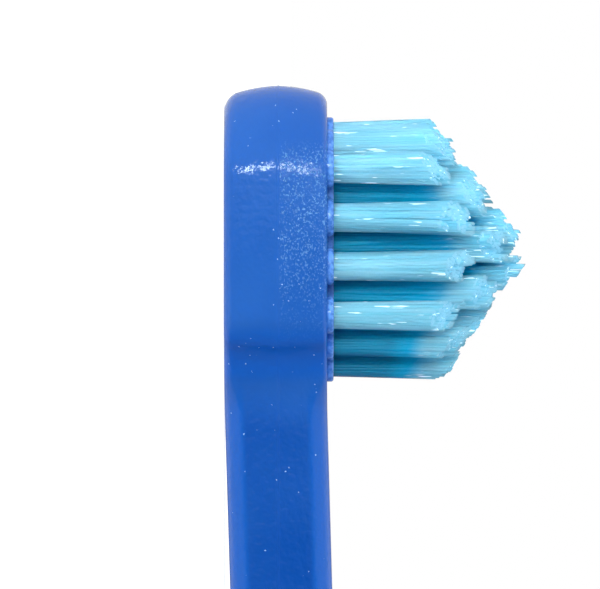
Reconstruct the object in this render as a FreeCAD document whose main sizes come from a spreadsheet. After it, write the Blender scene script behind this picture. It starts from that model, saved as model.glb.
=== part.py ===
"""Pet toothbrush with a small pointed head: one moulded body, 24 filament tufts and the wire anchors that hold them.

Frame: +X points along the brush to the tip of the head, +Z is the way the bristles point, and the brush lies on
its back on the plane Z = 0. The origin is under the middle of the brush's length. All sizes are in millimetres.
"""
import FreeCAD, Part
import math
import os

import Sketcher

os.makedirs("parts", exist_ok=True)
doc = FreeCAD.newDocument("toothbrush")


# ---------------------------------------------------------------------------------------------------------------
# Driving dimensions
# ---------------------------------------------------------------------------------------------------------------
DIMENSIONS = [
    # the body seen from the front
    ("overall_length", 140.0),
    ("head_width", 10.7),
    ("head_side_end", 13.0),  # from the tip to where the straight side of the head ends
    ("tip_radius", 7.5),
    ("tip_corner_radius", 4.2),
    ("shoulder_radius", 2.2),
    ("shoulder_hollow_radius", 3.8),
    ("neck_width", 5.3),
    ("flare_from_tip", 38.0),  # from the tip to where the neck starts to widen into the grip
    ("bend_radius", 90.0),
    ("grip_width", 11.5),
    ("grip_from_tip", 88.0),  # from the tip to the widest place of the grip
    ("tail_radius", 4.4),
    # the body seen from the side
    ("parting_height", 2.88),
    ("draft_angle", 5.0),
    ("head_thickness", 5.5),
    ("head_length", 15.5),  # the flat stretch, from the tip to where the neck starts to rise
    ("side_bend_radius", 100.0),
    ("arch_height", 0.9),  # how far the back of the neck stands clear of the table
    ("arch_from_tip", 48.0),
    ("grip_flat_from_tip", 90.0),  # where the back of the grip meets the table again
    ("grip_thickness", 7.5),
    # its edges
    ("head_back_edge", 1.0),
    ("head_front_edge", 0.4),
    ("handle_edge", 1.15),
    # the hanging hole
    ("hang_hole_diameter", 3.6),
    ("hang_hole_from_tail", 5.4),
    # the tuft field
    ("field_from_tip", 8.8),  # from the tip to the middle of the field
    ("column_spacing", 1.9),
    ("centre_pitch", 2.44),
    ("inner_pitch", 2.57),
    ("outer_pitch", 2.6),
    ("inner_offset", 0.26),
    ("outer_offset", 0.38),
    # one tuft, its collar and its hole
    ("hole_diameter", 1.6),
    ("hole_depth", 3.4),
    ("tuft_clearance", 0.02),
    ("tuft_spread", 0.026),  # growth of the radius for each millimetre of free length
    ("collar_wall", 0.2),
    ("collar_height", 0.35),
    # the trimmed shape of the bristles, a blunt cone that is longer than it is wide
    ("trim_point_height", 10.9),
    ("trim_top_height", 10.3),
    ("trim_slope_along", 0.74),
    ("trim_slope_across", 1.0),
    # one anchor, a cut of flat wire
    ("anchor_width", 1.9),
    ("anchor_thickness", 0.28),
    ("anchor_height", 1.3),
    ("anchor_above_hole_bottom", 0.65),
    ("anchor_turn", 35.0),
]
SIDES = 12  # holes, collars and tufts are drawn with flat sides, to keep the solids light
TRIM_SIDES = 20

# column of tufts: (places from the middle line, number of tufts, pitch, shift of the column towards the tip)
COLUMNS = {
    "centre": (0, 6, "dims.centre_pitch", "0"),
    "inner_left": (1, 5, "dims.inner_pitch", "dims.inner_offset"),
    "inner_right": (-1, 5, "dims.inner_pitch", "dims.inner_offset"),
    "outer_left": (2, 4, "dims.outer_pitch", "dims.outer_offset"),
    "outer_right": (-2, 4, "dims.outer_pitch", "dims.outer_offset"),
}

sheet = doc.addObject("Spreadsheet::Sheet", "dims")
for row, (alias, value) in enumerate(DIMENSIONS, start=1):
    sheet.set(f"A{row}", alias)
    sheet.set(f"B{row}", repr(value))
    sheet.setAlias(f"B{row}", alias)
doc.recompute()


def size(alias):
    """The number in a named cell of the sheet."""
    return float(sheet.get(alias))


# ---------------------------------------------------------------------------------------------------------------
# Sketch helpers
# ---------------------------------------------------------------------------------------------------------------
START, END, CENTRE = 1, 2, 3
ORIGIN = (-1, 1)
X_AXIS = -1


def new_sketch(body, name, plane):
    """A sketch on one of the body's own origin planes."""
    sketch = body.newObject("Sketcher::SketchObject", name)
    datum = [feature for feature in body.Origin.OriginFeatures if feature.Role == plane][0]
    sketch.AttachmentSupport = [(datum, "")]
    sketch.MapMode = "FlatFace"
    return sketch


def add_line(sketch, a, b):
    segment = Part.LineSegment(FreeCAD.Vector(a[0], a[1], 0), FreeCAD.Vector(b[0], b[1], 0))
    return sketch.addGeometry(segment, False)


def add_arc(sketch, centre, radius, start_deg, end_deg):
    """An arc that runs anticlockwise from start_deg to end_deg about its centre."""
    circle = Part.Circle(FreeCAD.Vector(centre[0], centre[1], 0), FreeCAD.Vector(0, 0, 1), radius)
    return sketch.addGeometry(Part.ArcOfCircle(circle, math.radians(start_deg), math.radians(end_deg)), False)


def constrain(sketch, *args, by=None):
    """Adds a constraint, and ties it to a formula of sheet cells where one is given."""
    index = sketch.addConstraint(Sketcher.Constraint(*args))
    if by:
        sketch.setExpression(f"Constraints[{index}]", by)


def s_run(radius_sum, step):
    """How far two opposite arcs run while they step sideways, level at both ends."""
    return math.sqrt(2 * radius_sum * step - step * step)


def s_swing(run, radius_sum):
    """The angle that each of the two arcs turns through."""
    return math.degrees(math.asin(run / radius_sum))


def ramp_swing(run, step, radius_sum):
    """The slope of a straight ramp that steps sideways over a run between two arcs, level at both ends."""
    rise = radius_sum - step
    return math.degrees(math.atan2(run, rise) - math.acos(radius_sum / math.hypot(run, rise)))


def on_circle(centre, radius, degrees):
    angle = math.radians(degrees)
    return centre[0] + radius * math.cos(angle), centre[1] + radius * math.sin(angle)


# ---------------------------------------------------------------------------------------------------------------
# Body blank: the front outline drafted both ways from the parting plane, then cut to the side outline
# ---------------------------------------------------------------------------------------------------------------
tip_x = size("overall_length") / 2
blank = doc.addObject("PartDesign::Body", "body_blank")

head_half = size("head_width") / 2
neck_half = size("neck_width") / 2
grip_half = size("grip_width") / 2
tip_r = size("tip_radius")
corner_r = size("tip_corner_radius")
shoulder_r = size("shoulder_radius")
hollow_r = size("shoulder_hollow_radius")
bend_r = size("bend_radius")
tail_r = size("tail_radius")

tip_centre_x = tip_x - tip_r
corner_x = tip_centre_x + math.sqrt((tip_r - corner_r) ** 2 - (head_half - corner_r) ** 2)
corner_from = math.degrees(math.asin((head_half - corner_r) / (tip_r - corner_r)))
side_end_x = tip_x - size("head_side_end")
shoulder_run = s_run(shoulder_r + hollow_r, head_half - neck_half)
shoulder_turn = s_swing(shoulder_run, shoulder_r + hollow_r)
neck_x = side_end_x - shoulder_run
crest_x = tip_x - size("grip_from_tip")
flare_x = tip_x - size("flare_from_tip")
flare_turn = ramp_swing(flare_x - crest_x, grip_half - neck_half, 2 * bend_r)
tail_x = -tip_x + tail_r
grip_turn = ramp_swing(crest_x - tail_x, grip_half - tail_r, bend_r - tail_r)

# the pieces of the left side, in order from the tip; the right side is their mirror image
CORNER, SIDE, SHOULDER, HOLLOW, NECK, FLARE, RAMP, CREST, GRIP = range(9)
ARCS = {
    CORNER: ("bulge", (corner_x, head_half - corner_r), corner_r, corner_from, 90),
    SHOULDER: ("bulge", (side_end_x, head_half - shoulder_r), shoulder_r, 90, 90 + shoulder_turn),
    HOLLOW: ("hollow", (neck_x, neck_half + hollow_r), hollow_r, 270, 270 + shoulder_turn),
    FLARE: ("hollow", (flare_x, neck_half + bend_r), bend_r, 270 - flare_turn, 270),
    CREST: ("bulge", (crest_x, grip_half - bend_r), bend_r, 90 - flare_turn, 90 + grip_turn),
}
TAIL = ("bulge", (tail_x, 0), tail_r, 90 + grip_turn, 270 - grip_turn)
STRAIGHTS = {  # each joins the low or high end of one arc to that of the next
    SIDE: (ARCS[CORNER], "high", ARCS[SHOULDER], "low"),
    NECK: (ARCS[HOLLOW], "low", ARCS[FLARE], "high"),
    RAMP: (ARCS[FLARE], "low", ARCS[CREST], "low"),
    GRIP: (ARCS[CREST], "high", TAIL, "low"),
}


def inset_radius(arc, inset):
    return arc[2] - inset if arc[0] == "bulge" else arc[2] + inset


def arc_end(arc, which, inset):
    return on_circle(arc[1], inset_radius(arc, inset), arc[3] if which == "low" else arc[4])


def outline_side(sketch, sign, inset):
    """Draws one side of the front outline: for each piece its index, its end near the tip and its far end."""
    pieces = []
    for piece in range(9):
        if piece in STRAIGHTS:
            arc, which, next_arc, next_which = STRAIGHTS[piece]
            near, far = arc_end(arc, which, inset), arc_end(next_arc, next_which, inset)
            pieces.append((add_line(sketch, (near[0], sign * near[1]), (far[0], sign * far[1])), START, END))
            continue
        kind, (x, y), _, low, high = arc = ARCS[piece]
        angles = (low, high) if sign > 0 else (-high, -low)
        index = add_arc(sketch, (x, sign * y), inset_radius(arc, inset), *angles)
        near_is_start = (kind == "bulge") == (sign > 0)
        pieces.append((index, START, END) if near_is_start else (index, END, START))
    return pieces


def front_outline(name, height, inset_by, inset):
    """The brush seen from the front, at a height, with every edge moved in by the same inset."""
    sketch = new_sketch(blank, name, "XY_Plane")
    sketch.setExpression("AttachmentOffset.Base.z", height)
    tip_arc = add_arc(sketch, (tip_centre_x, 0), tip_r - inset, -corner_from, corner_from)
    left = outline_side(sketch, 1, inset)
    tail_arc = add_arc(sketch, (tail_x, 0), tail_r - inset, 90 + grip_turn, 270 - grip_turn)
    right = outline_side(sketch, -1, inset)

    # left side: smooth from piece to piece
    constrain(sketch, "Tangent", tip_arc, END, left[0][0], left[0][1])
    for (one, _, far), (other, near, _) in zip(left, left[1:]):
        constrain(sketch, "Tangent", one, far, other, near)
    constrain(sketch, "Tangent", left[-1][0], left[-1][2], tail_arc, START)
    constrain(sketch, "Horizontal", left[SIDE][0])
    constrain(sketch, "Horizontal", left[NECK][0])

    # right side: joined end to end, with each joint and each radius the mirror of the left
    constrain(sketch, "Coincident", tip_arc, START, right[0][0], right[0][1])
    constrain(sketch, "Symmetric", tip_arc, END, tip_arc, START, X_AXIS)
    for (one, _, far), (other, near, _) in zip(right, right[1:]):
        constrain(sketch, "Coincident", one, far, other, near)
    for (one, _, far), (other, _, other_far) in zip(left[:-1], right[:-1]):
        constrain(sketch, "Symmetric", one, far, other, other_far, X_AXIS)
    for piece in ARCS:
        constrain(sketch, "Equal", left[piece][0], right[piece][0])
    constrain(sketch, "Coincident", right[-1][0], right[-1][2], tail_arc, END)
    constrain(sketch, "Symmetric", tail_arc, START, tail_arc, END, X_AXIS)

    # sizes, with every place along the brush measured from the centre of the tip's arc
    centre = (tip_arc, CENTRE)
    constrain(sketch, "DistanceX", *ORIGIN, *centre, tip_centre_x, by="dims.overall_length / 2 - dims.tip_radius")
    for item, point, from_tip in [
        (left[SIDE][0], END, "dims.head_side_end"),
        (left[NECK][0], END, "dims.flare_from_tip"),
        (left[CREST][0], CENTRE, "dims.grip_from_tip"),
        (tail_arc, CENTRE, "dims.overall_length - dims.tail_radius"),
    ]:
        here = tip_centre_x - sketch.getPoint(item, point).x
        constrain(sketch, "DistanceX", item, point, *centre, here, by=f"{from_tip} - dims.tip_radius")
    for item, radius, by in [
        (tip_arc, tip_r - inset, f"dims.tip_radius - {inset_by}"),
        (left[CORNER][0], corner_r - inset, f"dims.tip_corner_radius - {inset_by}"),
        (left[SHOULDER][0], shoulder_r - inset, f"dims.shoulder_radius - {inset_by}"),
        (left[HOLLOW][0], hollow_r + inset, f"dims.shoulder_hollow_radius + {inset_by}"),
        (left[FLARE][0], bend_r + inset, f"dims.bend_radius + {inset_by}"),
        (left[CREST][0], bend_r - inset, f"dims.bend_radius - {inset_by}"),
        (tail_arc, tail_r - inset, f"dims.tail_radius - {inset_by}"),
    ]:
        constrain(sketch, "Radius", item, radius, by=by)
    for piece, width in ((SIDE, "head_width"), (NECK, "neck_width")):
        constrain(sketch, "DistanceY", right[piece][0], right[piece][2], left[piece][0], left[piece][2],
                  size(width) - 2 * inset, by=f"dims.{width} - 2 * ({inset_by})")
    constrain(sketch, "DistanceY", left[CREST][0], CENTRE, right[CREST][0], CENTRE, 2 * (bend_r - grip_half),
              by="2 * dims.bend_radius - dims.grip_width")
    return sketch


# the two halves of the mould meet on the middle outline, and the sides lean in from it both ways
LEAN = "tan(dims.draft_angle * 1 deg)"
lean = math.tan(math.radians(size("draft_angle")))
below, above = 0.5, size("grip_thickness") + 0.5
parting = size("parting_height")
middle = front_outline("parting_outline", "dims.parting_height * 1 mm", "0", 0)
back = front_outline("back_outline", f"-{below} mm", f"(dims.parting_height + {below}) * {LEAN}",
                     (parting + below) * lean)
front = front_outline("bristle_side_outline", f"(dims.grip_thickness + {below}) * 1 mm",
                      f"(dims.grip_thickness + {below} - dims.parting_height) * {LEAN}", (above - parting) * lean)
drafted = blank.newObject("PartDesign::AdditiveLoft", "drafted_sides")
drafted.Profile = back
drafted.Sections = [middle, front]
drafted.Ruled = True

# side outline: a frame around the brush as seen from the side, cut away right across
profile = new_sketch(blank, "side_outline", "XZ_Plane")
margin = 2.0
head_t = size("head_thickness")
grip_t = size("grip_thickness")
arch_z = size("arch_height")
head_x = tip_x - size("head_length")
arch_x = tip_x - size("arch_from_tip")
flat_x = tip_x - size("grip_flat_from_tip")
low_x = -tip_x - margin
high_x = tip_x + margin
side_r = size("side_bend_radius")
rear_turn = ramp_swing(arch_x - flat_x, arch_z, 2 * side_r)
fore_turn = ramp_swing(head_x - arch_x, arch_z, 2 * side_r)
front_turn = ramp_swing(head_x - flat_x, grip_t - head_t, 2 * side_r)

rise_c, peak_c, drop_c = (flat_x, side_r), (arch_x, arch_z - side_r), (head_x, side_r)
lift_c, top_c = (head_x, head_t + side_r), (flat_x, grip_t - side_r)
grip_back = add_line(profile, (low_x, 0), (flat_x, 0))
rise = add_arc(profile, rise_c, side_r, 270, 270 + rear_turn)
rise_ramp = add_line(profile, on_circle(rise_c, side_r, 270 + rear_turn), on_circle(peak_c, side_r, 90 + rear_turn))
peak = add_arc(profile, peak_c, side_r, 90 - fore_turn, 90 + rear_turn)
drop_ramp = add_line(profile, on_circle(peak_c, side_r, 90 - fore_turn), on_circle(drop_c, side_r, 270 - fore_turn))
drop = add_arc(profile, drop_c, side_r, 270 - fore_turn, 270)
head_back = add_line(profile, (head_x, 0), (high_x, 0))
tip_end = add_line(profile, (high_x, 0), (high_x, head_t))
head_front = add_line(profile, (high_x, head_t), (head_x, head_t))
lift = add_arc(profile, lift_c, side_r, 270 - front_turn, 270)
front_ramp = add_line(profile, on_circle(lift_c, side_r, 270 - front_turn), on_circle(top_c, side_r, 90 - front_turn))
top = add_arc(profile, top_c, side_r, 90 - front_turn, 90)
grip_front = add_line(profile, (flat_x, grip_t), (low_x, grip_t))
tail_end = add_line(profile, (low_x, grip_t), (low_x, 0))

for one, one_end, other, other_end in [
    (grip_back, END, rise, START),
    (rise, END, rise_ramp, START),
    (rise_ramp, END, peak, END),
    (peak, START, drop_ramp, START),
    (drop_ramp, END, drop, START),
    (drop, END, head_back, START),
    (head_front, END, lift, END),
    (lift, START, front_ramp, START),
    (front_ramp, END, top, START),
    (top, END, grip_front, START),
]:
    constrain(profile, "Tangent", one, one_end, other, other_end)
for one, one_end, other, other_end in [
    (head_back, END, tip_end, START),
    (tip_end, END, head_front, START),
    (grip_front, END, tail_end, START),
    (tail_end, END, grip_back, START),
]:
    constrain(profile, "Coincident", one, one_end, other, other_end)
for level in (grip_back, head_back, head_front, grip_front):
    constrain(profile, "Horizontal", level)
for upright in (tip_end, tail_end):
    constrain(profile, "Vertical", upright)
for bend in (rise, peak, drop, lift, top):
    constrain(profile, "Radius", bend, side_r, by="dims.side_bend_radius")
constrain(profile, "PointOnObject", grip_back, START, X_AXIS)
constrain(profile, "PointOnObject", head_back, END, X_AXIS)
constrain(profile, "DistanceX", *ORIGIN, tip_end, START, high_x, by=f"dims.overall_length / 2 + {margin}")
for item, point, from_tip in [
    (head_back, START, "dims.head_length"),
    (head_front, END, "dims.head_length"),
    (peak, CENTRE, "dims.arch_from_tip"),
    (grip_back, END, "dims.grip_flat_from_tip"),
    (grip_front, START, "dims.grip_flat_from_tip"),
    (grip_back, START, f"dims.overall_length + {margin}"),
]:
    here = profile.getPoint(item, point).x
    constrain(profile, "DistanceX", item, point, tip_end, START, high_x - here, by=f"{from_tip} + {margin}")
constrain(profile, "DistanceY", *ORIGIN, head_front, END, head_t, by="dims.head_thickness")
constrain(profile, "DistanceY", *ORIGIN, grip_front, START, grip_t, by="dims.grip_thickness")
constrain(profile, "DistanceY", peak, CENTRE, *ORIGIN, side_r - arch_z, by="dims.side_bend_radius - dims.arch_height")

frame_corners = [(low_x - 1, -3), (high_x + 1, -3), (high_x + 1, 12), (low_x - 1, 12)]
frame = [add_line(profile, a, b) for a, b in zip(frame_corners, frame_corners[1:] + frame_corners[:1])]
for one, other in zip(frame, frame[1:] + frame[:1]):
    constrain(profile, "Coincident", one, END, other, START)
for level in (frame[0], frame[2]):
    constrain(profile, "Horizontal", level)
for upright in (frame[1], frame[3]):
    constrain(profile, "Vertical", upright)
constrain(profile, "DistanceX", *ORIGIN, frame[1], START, high_x + 1, by=f"dims.overall_length / 2 + {margin + 1}")
constrain(profile, "DistanceX", frame[3], START, frame[1], START, 2 * (high_x + 1),
          by=f"dims.overall_length + {2 * margin + 2}")
constrain(profile, "DistanceY", frame[0], START, *ORIGIN, 3, by="dims.arch_height + 2.1")
constrain(profile, "DistanceY", *ORIGIN, frame[2], START, 12, by="dims.grip_thickness + 4.5")

side_cut = blank.newObject("PartDesign::Pocket", "side_cut")
side_cut.Profile = profile
side_cut.Type = "ThroughAll"
side_cut.Midplane = True
doc.recompute()


# ---------------------------------------------------------------------------------------------------------------
# Rounded edges: small ones around the head, which grow along the shoulders into the fuller ones of the handle
# ---------------------------------------------------------------------------------------------------------------
def rim_edges(shape, is_rim):
    """The edges that run along the brush where its sides meet the back or the front."""
    return [(n, e) for n, e in enumerate(shape.Edges, start=1) if e.BoundBox.XLength > 0.02 and is_rim(e.BoundBox)]


def edge_radius(x, at_head):
    """The head's own radius, which grows to the handle's over the shoulders."""
    along = min(max((head_x - x) / (head_x - neck_x), 0), 1)
    return at_head + (size("handle_edge") - at_head) * along


def round_rim(name, base, at_head, is_rim):
    """Rounds one rim, with a radius that follows the place along the brush."""
    rounding = doc.addObject("Part::Fillet", name)
    rounding.Base = base
    rounding.Edges = [
        (n, edge_radius(edge.Vertexes[0].X, at_head), edge_radius(edge.Vertexes[-1].X, at_head))
        for n, edge in rim_edges(base.Shape, is_rim)
    ]
    doc.recompute()
    return rounding


soft_back = round_rim("soft_back", blank, size("head_back_edge"), lambda box: box.ZMax < parting - 0.5)
soft_body = round_rim("soft_body", soft_back, size("head_front_edge"), lambda box: box.ZMin > parting + 0.5)


# ---------------------------------------------------------------------------------------------------------------
# Solids placed by formula
# ---------------------------------------------------------------------------------------------------------------
def place(item, x, y, z):
    """Puts an object's origin at a place given by formulas of sheet cells, in millimetres."""
    for axis, formula in zip("xyz", (x, y, z)):
        item.setExpression(f"Placement.Base.{axis}", f"({formula}) * 1 mm")


def solid(kind, name, where, **sizes):
    """A Part primitive whose sizes and place are formulas of sheet cells."""
    item = doc.addObject(f"Part::{kind}", name)
    for prop, formula in sizes.items():
        item.setExpression(prop, f"({formula}) * 1 mm")
    place(item, *where)
    return item


def prism(name, where, radius, height):
    """An upright prism, round enough to stand for a small round pin or hole."""
    item = solid("Prism", name, where, Circumradius=radius, Height=height)
    item.Polygon = SIDES
    return item


def combine(kind, name, base, tool):
    """One solid cut from, or kept within, another."""
    item = doc.addObject(f"Part::{kind}", name)
    item.Base = base
    item.Tool = tool
    return item


def fuse(name, shapes):
    item = doc.addObject("Part::MultiFuse", name)
    item.Shapes = shapes
    return item


# ---------------------------------------------------------------------------------------------------------------
# Hanging hole
# ---------------------------------------------------------------------------------------------------------------
hang_hole = solid("Cylinder", "hang_hole", ("dims.hang_hole_from_tail - dims.overall_length / 2", "0", "-1"),
                  Radius="dims.hang_hole_diameter / 2", Height="dims.grip_thickness + 2")
handle = combine("Cut", "handle_with_hole", soft_body, hang_hole)


# ---------------------------------------------------------------------------------------------------------------
# Tufts: each stands in a collared blind hole, folded over an anchor that bites into the walls of the hole
# ---------------------------------------------------------------------------------------------------------------
FACE = "dims.head_thickness"
COLLAR_TOP = f"({FACE} + dims.collar_height)"
HOLE_BOTTOM = f"({FACE} - dims.hole_depth)"
FIELD_X = "(dims.overall_length / 2 - dims.field_from_tip)"
STEM_RADIUS = "(dims.hole_diameter / 2 - dims.tuft_clearance)"
FAN_RADIUS = f"({STEM_RADIUS} + dims.tuft_spread * (dims.trim_point_height - dims.collar_height))"

# the bristles are trimmed to a blunt cone over the middle of the field, longer along the brush than across it
field_x = tip_x - size("field_from_tip")
trim_ends = []
for name, height in (("trim_low", -size("hole_depth")), ("trim_top", size("trim_top_height"))):
    under_point = size("trim_point_height") - height
    reach_x = under_point / size("trim_slope_along")
    reach_y = under_point / size("trim_slope_across")
    ring = doc.addObject("Part::Polygon", name)
    ring.Nodes = [
        FreeCAD.Vector(field_x + reach_x * math.cos(turn), reach_y * math.sin(turn), head_t + height)
        for turn in (2 * math.pi * (corner + 0.5) / TRIM_SIDES for corner in range(TRIM_SIDES))
    ]
    ring.Close = True
    trim_ends.append(ring)
trim = doc.addObject("Part::Loft", "trim_shape")
trim.Sections = trim_ends
trim.Solid = True
trim.Ruled = True

collars, holes, anchors, tufts = [], [], [], []
for column, (places, count, pitch, shift) in COLUMNS.items():
    y = f"{places} * dims.column_spacing"
    for number in range(count):
        tag = f"{column}_{number + 1}"
        x = f"{FIELD_X} + {shift} + {(count - 1) / 2 - number} * {pitch}"
        collars.append(prism(f"collar_{tag}", (x, y, f"{FACE} - dims.collar_height"),
                             "dims.hole_diameter / 2 + dims.collar_wall", "2 * dims.collar_height"))
        holes.append(prism(f"hole_{tag}", (x, y, HOLE_BOTTOM),
                           "dims.hole_diameter / 2", "dims.hole_depth + dims.collar_height + 0.1"))

        turned = "dims.anchor_turn * 1 deg"
        half_w, half_t = "dims.anchor_width / 2", "dims.anchor_thickness / 2"
        anchor = solid("Box", f"anchor_{tag}",
                       (f"{x} - {half_w} * cos({turned}) + {half_t} * sin({turned})",
                        f"{y} - {half_w} * sin({turned}) - {half_t} * cos({turned})",
                        f"{HOLE_BOTTOM} + dims.anchor_above_hole_bottom"),
                       Length="dims.anchor_width", Width="dims.anchor_thickness", Height="dims.anchor_height")
        anchor.setExpression("Placement.Rotation.Angle", turned)
        anchors.append(anchor)

        rings = []
        for part, height, radius in [
            ("root", HOLE_BOTTOM, STEM_RADIUS),
            ("mouth", COLLAR_TOP, STEM_RADIUS),
            ("tip", f"({FACE} + dims.trim_point_height)", FAN_RADIUS),
        ]:
            ring = doc.addObject("Part::RegularPolygon", f"{part}_{tag}")
            ring.Polygon = SIDES
            ring.setExpression("Circumradius", f"{radius} * 1 mm")
            place(ring, x, y, height)
            rings.append(ring)
        fan = doc.addObject("Part::Loft", f"fan_{tag}")
        fan.Sections = rings
        fan.Solid = True
        fan.Ruled = True
        trimmed = combine("Common", f"trimmed_{tag}", fan, trim)
        tufts.append(combine("Cut", f"tuft_{tag}", trimmed, anchor))

# the finished moulding: collars stand on it, holes and anchor slots go into it
raised = fuse("raised_body", [handle] + collars)
sockets = fuse("sockets", holes + anchors)
brush_body = combine("Cut", "brush_body", raised, sockets)

tuft_anchors = doc.addObject("Part::Compound", "tuft_anchors")
tuft_anchors.Links = anchors
doc.recompute()


# ---------------------------------------------------------------------------------------------------------------
# Checks and export
# ---------------------------------------------------------------------------------------------------------------
for item in doc.Objects:
    if "Invalid" in item.State or "Error" in item.State:
        raise RuntimeError(f"{item.Label} did not compute: {item.State}")

nodes = [brush_body, tuft_anchors] + tufts
for node in nodes:
    if node.Shape.isNull() or not node.Shape.isValid():
        raise RuntimeError(f"{node.Label} has no valid shape")
    node.Shape.exportStep(f"parts/{node.Label}.step")
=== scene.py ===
"""A small pet toothbrush: one blue moulding, 24 tufts of clear blue nylon, and the brass wire that anchors them.

The brush lies on its back. +X runs along it to the tip of the head and +Z is the way the bristles point.
Sizes are written in millimetres and turned into metres where a mesh is made.
"""

import math

import bmesh
import bpy
import numpy as np
from mathutils import Matrix, Vector


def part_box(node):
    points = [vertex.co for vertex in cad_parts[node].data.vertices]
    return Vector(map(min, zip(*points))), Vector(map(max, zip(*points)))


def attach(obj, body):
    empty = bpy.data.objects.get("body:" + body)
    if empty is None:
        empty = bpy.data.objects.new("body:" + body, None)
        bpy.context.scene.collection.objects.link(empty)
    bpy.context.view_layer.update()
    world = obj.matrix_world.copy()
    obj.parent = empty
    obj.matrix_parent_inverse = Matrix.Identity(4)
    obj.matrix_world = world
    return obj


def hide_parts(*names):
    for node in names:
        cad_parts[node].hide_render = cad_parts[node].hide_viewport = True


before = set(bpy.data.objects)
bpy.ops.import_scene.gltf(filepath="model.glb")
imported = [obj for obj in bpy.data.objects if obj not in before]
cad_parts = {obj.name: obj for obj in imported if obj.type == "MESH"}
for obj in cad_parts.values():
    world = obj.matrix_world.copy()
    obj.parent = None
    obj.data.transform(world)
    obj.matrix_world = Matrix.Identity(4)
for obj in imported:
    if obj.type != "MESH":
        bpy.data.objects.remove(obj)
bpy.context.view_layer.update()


# ---------------------------------------------------------------------------------------------------------------
# The brush body
# One piece of glossy blue polypropylene: a deep little head, a slim neck and a plain handle. It is injection
# moulded in two halves, so its sides lean in both ways from a fine parting line that runs all round it.
# ---------------------------------------------------------------------------------------------------------------
MM = 0.001
_, body_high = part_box("brush_body")
TIP_X = np.array(body_high)[0] / MM
HEAD_HALF, NECK_HALF, GRIP_HALF = 5.41, 2.65, 5.75
SIDE_RADIUS, SIDE_CREST_X, SIDE_START_X, SIDE_END_X = 60.0, TIP_X - 8.3, TIP_X - 5.0, TIP_X - 12.3
CORNER_RADIUS, SHOULDER_RADIUS, HOLLOW_RADIUS = 4.6, 2.2, 3.8
FLARE_X, CREST_X, BEND_RADIUS = TIP_X - 38, TIP_X - 88, 90.0
TAIL_RADIUS = 4.4
TAIL_X = TAIL_RADIUS - TIP_X

PARTING_Z, HEAD_Z, GRIP_Z, ARCH_Z = 2.88, 5.5, 7.5, 0.9
HEAD_X, ARCH_X, GRIP_FLAT_X = TIP_X - 15.5, TIP_X - 48, TIP_X - 90
SIDE_BEND_RADIUS = 100.0
LEAN = math.radians(5)

HANG_HOLE_X, HANG_HOLE_RADIUS = 5.4 - TIP_X, 1.8

# the rounded edges of the back and the front, what the tip adds to them, and where the neck's wider round begins
BACK_EDGE, FRONT_EDGE, NECK_EDGE = 0.55, 0.32, 1.32
BACK_TIP_EDGE, FRONT_TIP_EDGE = 0.22, 0.25
NECK_EDGE_X, NECK_EDGE_RUN = 54.3, 2.0
EDGE_POINTS = 10

# the fine ridge on the parting line, the rows of points beside it, and the tip's slight crown
RIDGE_HEIGHT, RIDGE_WIDTH = 0.017, 0.055
RIDGE_REACH, RIDGE_POINTS, SIDE_STOPS_AT = 0.14, 9, 0.2
SIDE_SHARES = np.array([0.15, 0.35, 0.55, 0.75, 0.9])
CROWN_FROM, CROWN_RISE, CROWN_FALL = 0.1, 0.045, 0.062

# the faces' rings shrink by these shares onto a middle line that stops short of the tip
FACE_SHARES = np.array([0.15, 0.4, 0.7, 1.0])
MIDDLE_END_X = TIP_X - 5.3

# how far apart the outline's points stand: small arcs, the shoulder, the head's side and the tail,
# and then the neck, the long bends and the long straights
FINE_STEP, SHOULDER_STEP, SIDE_STEP = 0.16, 0.14, 0.3
NECK_STEP, BEND_STEP, RAMP_STEP = 0.5, 1.0, 1.5

# in metres: points nearer than the first are one point, and edges shorter than the second are dropped
SAME_POINT, NO_LENGTH = 2e-7, 1e-8
SHARP_EDGE = math.radians(32)


def ramp_turn(run, step, radius_sum):
    """The slope of a straight ramp that steps sideways over a run between two arcs, level at both ends."""
    rise = radius_sum - step
    return math.degrees(math.atan2(run, rise) - math.acos(radius_sum / math.hypot(run, rise)))


def arc(centre, radius, start, end, step, hollow=False):
    """Points about a centre at one radius, from one angle to another, and the way out of the plastic at each."""
    count = math.ceil(abs(math.radians(end - start)) * radius / step) + 2
    turn = np.radians(np.linspace(start, end, count))
    away = np.stack([np.cos(turn), np.sin(turn)], 1)
    return np.array(centre) + radius * away, -away if hollow else away


def straight(start, end, step):
    """Points in a row from one place to another, and the way out of the plastic: along, turned to the right."""
    start, end = np.array(start, float), np.array(end, float)
    along = (end - start) / np.linalg.norm(end - start)
    share = np.linspace(0, 1, math.ceil(np.linalg.norm(end - start) / step) + 2)[:, None]
    return start + share * (end - start), np.tile([along[1], -along[0]], (len(share), 1))


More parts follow.
